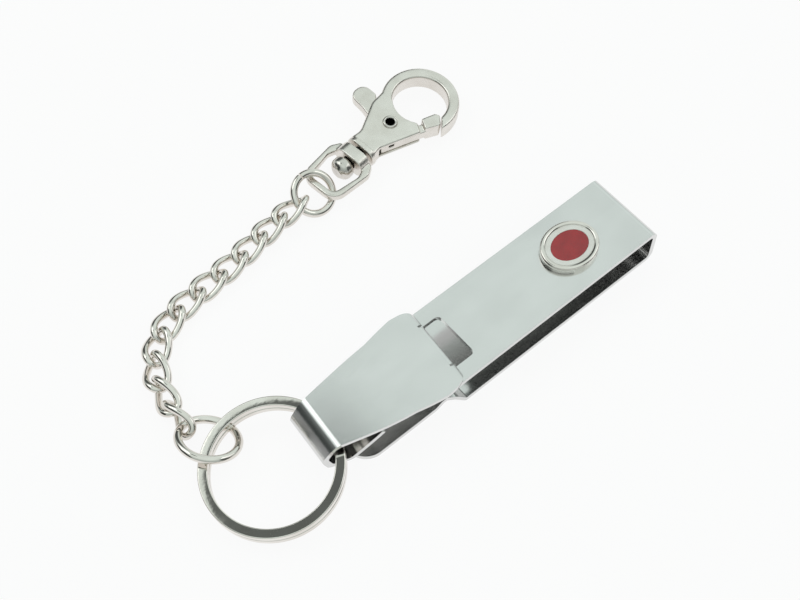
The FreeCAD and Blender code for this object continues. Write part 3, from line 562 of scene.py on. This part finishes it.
# Softboxes: name, place and side in metres, and power in watts.
LAMPS = (
    ("key_softbox", (-0.22, 0.34, 0.42), 0.34, 0.3),
    ("fill_softbox", (0.36, -0.2, 0.3), 0.3, 0.22),
)
# Half the floor's side in metres, and the share of white that a ray that sees the floor gets.
FLOOR_HALF = 3.0
FLOOR_GLOW = 0.9
# The photo's camera: lens and sensor in millimetres, place and aim in millimetres of the frame.
CAMERA_LENS = 62.3
CAMERA_SENSOR = 36
CAMERA_NEAR = 0.01
CAMERA_PLACE = (-113.8, -92.7, 246.5)
CAMERA_AIM = (-20.5, 17.3, 0)


# Operators

class KEYCLIP_OT_materials(bpy.types.Operator):
    """Make the finishes of the key clip"""
    bl_idname = "keyclip.materials"
    bl_label = "Finishes"

    def execute(self, context):
        look = context.scene.keyclip_finishes
        satin_stainless(look)
        bright_nickel(look)
        tumbled_nickel(look)
        # The bore is painted near black as the shade deep inside the hole, with a faint shine.
        plain_steel("painted_shade_rivet_bore", look.bore, 0.6, 0.4, 0.6)
        plain_steel("peened_rivet_steel", look.rivet, 1.2, 0.1, 0.18)
        plain_steel("drawn_spring_wire", look.spring, 0.5, 0.28, 0.42)
        hard_enamel("red_hard_enamel", look.red, look.red_deep)
        hard_enamel("white_hard_enamel", look.white, look.white_warm)
        return {"FINISHED"}


class KEYCLIP_OT_sheet(bpy.types.Operator):
    """Finish the belt clip and its hanger, both bent from strip"""
    bl_idname = "keyclip.sheet"
    bl_label = "Belt clip and hanger"

    def execute(self, context):
        sizes = context.scene.keyclip_sizes
        steel = material_of("satin_stainless_strip")
        clip = rounded_edges(merged("belt_clip", FLAT_ANGLE), sizes.strip_edge)
        put("folded_belt_clip", clip, "belt_clip", "satin_steel", steel, "belt_clip")
        put("flared_hanger", pressed_hanger(sizes), "hanger", "satin_steel", steel, "hanger")
        return {"FINISHED"}


class KEYCLIP_OT_badge(bpy.types.Operator):
    """Make the oval badge with its plated rim and two enamels"""
    bl_idname = "keyclip.badge"
    bl_label = "Badge"

    def execute(self, context):
        dome = context.scene.keyclip_sizes.enamel_dome
        put("badge_rim", turned_piece("badge_base"), "belt_clip", "badge_metal",
            material_of("bright_nickel_plate"), "badge_base")
        low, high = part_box("badge_field_enamel")
        rings = self.cap(low, high, dome)
        put("badge_field", joined_rings("badge_field", rings), "belt_clip", "red_enamel",
            material_of("red_hard_enamel"), "badge_field_enamel")
        border = evaluated(merged("badge_border_enamel", FLAT_ANGLE), [
            ("BEVEL", {"width": dome, "segments": 3, "limit_method": "ANGLE",
                       "angle_limit": math.radians(40), "harden_normals": True})])
        put("badge_border", border, "belt_clip", "white_enamel",
            material_of("white_hard_enamel"), "badge_border_enamel")
        return {"FINISHED"}

    def cap(self, low, high, dome):
        """Rings of a crowned oval disc, from its underside up and in to its middle."""
        middle = (low + high) / 2
        half = (high - low) / 2
        rows = [(1.0, low.z), (1.0, high.z - dome)]
        for step in range(1, DOME_STEPS + 1):
            share = math.cos(step / DOME_STEPS * math.pi / 2 * DOME_REACH)
            rows.append((share, high.z - dome * share ** 2))
        rings = []
        for share, height in rows:
            ring = []
            for i in range(OVAL_STEPS):
                turn = i / OVAL_STEPS * 2 * math.pi
                ring.append((middle.x + half.x * share * math.cos(turn),
                             middle.y + half.y * share * math.sin(turn), height))
            rings.append(ring)
        return rings


class KEYCLIP_OT_split_ring(bpy.types.Operator):
    """Wind the key ring from two turns of flat wire"""
    bl_idname = "keyclip.split_ring"
    bl_label = "Split ring"

    def execute(self, context):
        sizes = context.scene.keyclip_sizes
        rise = sizes.ring_wire_height + sizes.ring_turn_gap
        end = sizes.ring_joggle_end
        turn = 2 * math.pi - sizes.ring_joggle - sizes.ring_end_gap
        start = end + sizes.ring_end_gap
        whole = 2 * turn + sizes.ring_joggle
        section = self.section(sizes)
        mean = sizes.ring_radius - sizes.ring_wire_width / 2
        rings = []
        for step in range(RING_STEPS + 1):
            gone = whole * step / RING_STEPS
            climb = min(max((gone - turn) / sizes.ring_joggle, 0), 1)
            climb = climb * climb * (3 - 2 * climb)
            way = Vector((math.cos(start + gone), math.sin(start + gone), 0))
            rings.append([way * (mean + x) + Vector((0, 0, rise * (climb - 0.5) + z))
                          for x, z in section])
        mesh = evaluated(joined_rings("split_ring_wire", rings), [
            ("WEIGHTED_NORMAL", {"keep_sharp": True})])
        mesh.transform(lie_of("split_ring", ring=True))
        put("wound_split_ring", mesh, "split_ring", "nickel_wire",
            material_of("bright_nickel_plate"), "split_ring")
        return {"FINISHED"}

    def section(self, sizes):
        """Flat wire with rounded corners, as offsets along and across the ring's plane."""
        bend = sizes.ring_wire_round
        wide = sizes.ring_wire_width / 2 - bend
        high = sizes.ring_wire_height / 2 - bend
        points = []
        centres = ((wide, high), (-wide, high), (-wide, -high), (wide, -high))
        for corner, (x, z) in enumerate(centres):
            for step in range(CORNER_STEPS + 1):
                turn = (corner + step / CORNER_STEPS) * math.pi / 2
                points.append((x + bend * math.cos(turn), z + bend * math.sin(turn)))
        return points


class KEYCLIP_OT_jump_rings(bpy.types.Operator):
    """Bend the jump rings at both ends of the chain"""
    bl_idname = "keyclip.jump_rings"
    bl_label = "Jump rings"

    def execute(self, context):
        sizes = context.scene.keyclip_sizes
        nickel = material_of("bright_nickel_plate")
        tree = ring_tree()
        for node, radius in (("ring_link", sizes.ring_link_radius),
                             ("swivel_link", sizes.swivel_link_radius)):
            mesh = grown(node + "_wire", tree, {
                "Radius": radius, "Sweep": 2 * math.pi - sizes.jump_seam,
                "Wire Radius": sizes.jump_wire / 2, "Material": nickel})
            lie = lie_of(node, ring=True)
            mesh.transform(lie @ Matrix.Rotation(SEAM_PLACE, 4, "Z"))
            put(node + "_wire", mesh, node, "nickel_wire", nickel, node)
        return {"FINISHED"}


class KEYCLIP_OT_chain(bpy.types.Operator):
    """Bend the twisted links of the curb chain"""
    bl_idname = "keyclip.chain"
    bl_label = "Curb chain"

    def execute(self, context):
        sizes = context.scene.keyclip_sizes
        nickel = material_of("bright_nickel_plate")
        link = grown("curb_link_wire", link_tree(), {
            "Half Length": sizes.link_length / 2, "Half Width": sizes.link_width / 2,
            "Twist": sizes.link_twist, "Power": 2 / sizes.link_fullness,
            "Wire Radius": sizes.link_wire / 2, "Material": nickel})
        for node in LINK_NODES:
            mesh = link.copy()
            mesh.transform(lie_of(node))
            put(node + "_wire", mesh, node, "nickel_wire", nickel, node)
        return {"FINISHED"}


class KEYCLIP_OT_clasp(bpy.types.Operator):
    """Finish the swivel eye, the clasp's casting, its gate, rivets and spring"""
    bl_idname = "keyclip.clasp"
    bl_label = "Swivel clasp"

    def execute(self, context):
        sizes = context.scene.keyclip_sizes
        nickel = material_of("tumbled_nickel_casting")
        for node, body, mesh in (("swivel_eye", "swivel_eye", merged("swivel_eye")),
                                 ("clasp_body", "clasp", full_hook(sizes)),
                                 ("gate_lever", "gate", merged("gate_lever"))):
            put(node + "_casting", cast_piece(mesh, sizes), body, "nickel_casting", nickel, node)
        steel = material_of("peened_rivet_steel")
        put("swivel_rivet_turned", turned_piece("swivel_rivet"), "clasp", "rivet_steel", steel,
            "swivel_rivet")
        rivet = put("gate_rivet_turned", self.hollow_rivet(sizes), "clasp", "rivet_steel", steel,
                    "gate_rivet")
        rivet.data.materials.append(material_of("painted_shade_rivet_bore"))
        # Faces inside the bore get the painted shade of the deep hole.
        hinge = joint_named("gate_hinge")
        for face in rivet.data.polygons:
            reach = (face.center - Vector(hinge["pos_m"])).cross(Vector(hinge["axis"])).length
            face.material_index = int(reach < sizes.rivet_bore * BORE_SHARE)
        put("gate_spring_coil", turned_piece("gate_spring"), "clasp", "spring_steel",
            material_of("drawn_spring_wire"), "gate_spring")
        return {"FINISHED"}

    def hollow_rivet(self, sizes):
        """Hollow rivet with two rolled lips and a bore that ends in a web, the bore later painted
        dark as shade.
        """
        hinge = joint_named("gate_hinge")
        axis = Vector(hinge["axis"])
        middle = Vector(hinge["pos_m"])
        corners = [vert.co for vert in frame["nodes"]["gate_rivet"].data.vertices]
        half = max((corner - middle).dot(axis) for corner in corners)
        tube = (sizes.rivet_lip - sizes.rivet_bore) / 2
        seat = (sizes.rivet_lip + sizes.rivet_bore) / 2
        roll = [(seat + tube * math.cos(turn), tube * (math.sin(turn) - 1))
                for turn in LIP_ANGLES]
        web = half - 2 * sizes.rivet_bore
        upper = [(radius, half + height) for radius, height in roll] + [(sizes.rivet_bore, web)]
        profile = [(radius, -height) for radius, height in reversed(upper)] + upper
        turn = axis.to_track_quat("Z", "Y").to_matrix()
        rings = []
        around = [2 * math.pi * i / RIVET_STEPS for i in range(RIVET_STEPS)]
        for radius, height in [(AXIS_RADIUS, -web), *profile, (AXIS_RADIUS, web)]:
            rings.append([
                middle + turn @ Vector((radius * math.cos(a), radius * math.sin(a), height))
                for a in around])
        return joined_rings("gate_rivet_lathe", rings)


class KEYCLIP_OT_stage(bpy.types.Operator):
    """Set the pale floor, the soft lights, the world and the camera"""
    bl_idname = "keyclip.stage"
    bl_label = "Stage"

    def execute(self, context):
        scene = context.scene
        scene.view_settings.view_transform = "Standard"
        self.floor(scene)
        self.world(scene)
        for lamp in LAMPS:
            self.lamp(scene, *lamp)
        self.camera(scene)
        return {"FINISHED"}

    def seen(self, tree):
        """1 for rays that see the background: from the camera or off bright metal."""
        path = add(tree, "ShaderNodeLightPath").outputs
        first = add(tree, "ShaderNodeMath", {0: path["Is Camera Ray"], 1: path["Is Glossy Ray"]},
                    operation="MAXIMUM")
        both = add(tree, "ShaderNodeMath", {0: first.outputs[0], 1: path["Is Transmission Ray"]},
                   operation="MAXIMUM")
        return both.outputs[0]

    def floor(self, scene):
        """Matt pale floor: near white to the eye, with the object's soft shadow on it."""
        mesh = bpy.data.meshes.new("studio_floor")
        half = FLOOR_HALF
        corners = [(-half, -half, 0), (half, -half, 0), (half, half, 0), (-half, half, 0)]
        mesh.from_pydata(corners, [], [(0, 1, 2, 3)])
        floor = bpy.data.objects.new("studio_floor", mesh)
        scene.collection.objects.link(floor)
        material, tree = new_material("pale_studio_floor")
        matt = add(tree, "ShaderNodeBsdfDiffuse", {"Color": tuple(scene.keyclip_finishes.floor)})
        glow = add(tree, "ShaderNodeEmission", {"Color": (1, 1, 1, 1), "Strength": 1.0})
        share = add(tree, "ShaderNodeMath", {0: self.seen(tree), 1: FLOOR_GLOW},
                    operation="MULTIPLY")
        mixed = add(tree, "ShaderNodeMixShader",
                    {0: share.outputs[0], 1: matt.outputs[0], 2: glow.outputs[0]})
        add(tree, "ShaderNodeOutputMaterial", {"Surface": mixed.outputs[0]})
        mesh.materials.append(material)

    def world(self, scene):
        """Studio that is paler overhead, with cards that bright metal mirrors as bands."""
        world = bpy.data.worlds.new("studio_world")
        world.use_nodes = True
        tree = world.node_tree
        tree.nodes.clear()
        way = add(tree, "ShaderNodeTexCoord").outputs["Generated"]
        height = add(tree, "ShaderNodeSeparateXYZ", {0: way}).outputs["Z"]
        ramp = add(tree, "ShaderNodeValToRGB", {0: height})
        stops = ramp.color_ramp.elements
        while len(stops) < len(SKY):
            stops.new(1.0)
        tint = scene.keyclip_finishes.light
        for stop, (position, level) in zip(stops, SKY):
            stop.position = position
            stop.color = [level * part for part in tint[:3]] + [1]
        strength = 1.0
        for card, whole, faded, share in CARDS:
            facing = add(tree, "ShaderNodeVectorMath", {0: way, 1: Vector(card).normalized()},
                         operation="DOT_PRODUCT").outputs["Value"]
            shade = add(tree, "ShaderNodeMapRange", {
                "Value": facing, "From Min": faded, "From Max": whole,
                "To Min": 1.0, "To Max": share}, interpolation_type="SMOOTHSTEP")
            strength = add(tree, "ShaderNodeMath", {0: shade.outputs[0], 1: strength},
                           operation="MULTIPLY").outputs[0]
        sky = add(tree, "ShaderNodeBackground", {"Color": ramp.outputs[0], "Strength": strength})
        add(tree, "ShaderNodeOutputWorld", {"Surface": sky.outputs[0]})
        scene.world = world

    def lamp(self, scene, name, place, side, power):
        data = bpy.data.lights.new(name, "AREA")
        data.size = side
        data.energy = power
        lamp = bpy.data.objects.new(name, data)
        lamp.location = place
        lamp.rotation_euler = (-Vector(place)).to_track_quat("-Z", "Y").to_euler()
        scene.collection.objects.link(lamp)

    def camera(self, scene):
        data = bpy.data.cameras.new("photo_camera")
        data.lens = CAMERA_LENS
        data.sensor_width = CAMERA_SENSOR
        data.clip_start = CAMERA_NEAR
        place = Vector(CAMERA_PLACE) * MM
        target = Vector(CAMERA_AIM) * MM
        camera = bpy.data.objects.new("photo_camera", data)
        camera.location = place
        camera.rotation_euler = (target - place).to_track_quat("-Z", "Y").to_euler()
        scene.collection.objects.link(camera)
        scene.camera = camera


STEPS = (KEYCLIP_OT_materials, KEYCLIP_OT_sheet, KEYCLIP_OT_badge, KEYCLIP_OT_split_ring,
         KEYCLIP_OT_jump_rings, KEYCLIP_OT_chain, KEYCLIP_OT_clasp, KEYCLIP_OT_stage)


class KEYCLIP_PT_panel(bpy.types.Panel):
    """Lists the pieces of the key clip and their sizes and colours"""
    bl_idname = "KEYCLIP_PT_panel"
    bl_label = "Belt key clip"
    bl_space_type = "VIEW_3D"
    bl_region_type = "UI"
    bl_category = "Key clip"

    def draw(self, context):
        for step in STEPS:
            self.layout.operator(step.bl_idname)
        for group in (context.scene.keyclip_sizes, context.scene.keyclip_finishes):
            box = self.layout.box()
            for name in group.__annotations__:
                box.prop(group, name)


CLASSES = (KeyClipSizes, KeyClipFinishes, *STEPS, KEYCLIP_PT_panel)


def register():
    for item in CLASSES:
        bpy.utils.register_class(item)
    bpy.types.Scene.keyclip_sizes = PointerProperty(type=KeyClipSizes)
    bpy.types.Scene.keyclip_finishes = PointerProperty(type=KeyClipFinishes)


def unregister():
    del bpy.types.Scene.keyclip_finishes
    del bpy.types.Scene.keyclip_sizes
    for item in reversed(CLASSES):
        bpy.utils.unregister_class(item)


def main():
    register()
    for step in STEPS:
        group, name = step.bl_idname.split(".")
        getattr(getattr(bpy.ops, group), name)()


if __name__ == "__main__":
    main()
